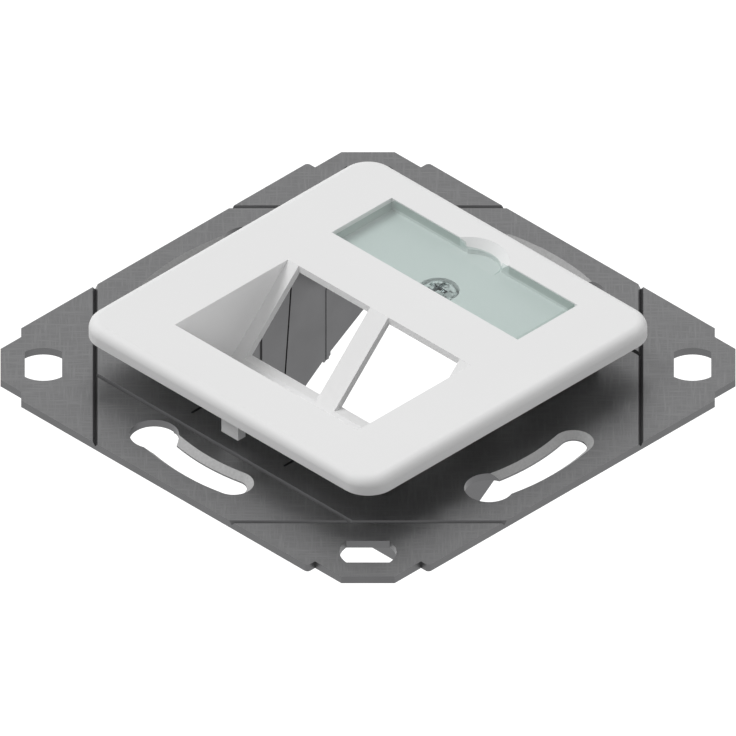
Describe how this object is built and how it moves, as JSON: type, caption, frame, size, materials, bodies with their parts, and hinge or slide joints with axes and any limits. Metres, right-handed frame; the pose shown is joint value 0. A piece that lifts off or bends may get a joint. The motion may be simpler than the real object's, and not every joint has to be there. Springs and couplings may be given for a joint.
{
  "type": "outlet module holder",
  "caption": "Flush-mounted holder for data outlet modules: stamped steel support frame, bent steel carrier, square white cover with a sloping outlet pocket and a clear label window.",
  "frame": {"origin": "centre of the support frame on its rear face, which lies against the wall", "axes": "+X across the wall, +Y up the wall towards the label side, +Z out of the wall"},
  "size_m": [0.07, 0.07, 0.0255],
  "materials": {
    "frame_steel": "galvanised sheet, finely brushed",
    "carrier_steel": "galvanised sheet, finely brushed",
    "rivet_steel": "plain steel",
    "white_plastic": "moulded, semi-gloss",
    "clear_plastic": "clear with a faint green cast",
    "screw_metal": "bright plated"
  },
  "bodies": {
    "holder": {"support_frame": "frame_steel", "module_carrier": "carrier_steel", "carrier_rivets": "rivet_steel", "cover_plate": "white_plastic", "cover_screw": "screw_metal"},
    "clear_window": {"label_window": "clear_plastic"}
  },
  "joints": [
    {"name": "label_window_lift", "type": "slide", "parent": "holder", "child": "clear_window", "axis": [0, 0, 1], "range_m": [0, 0.03]}
  ]
}
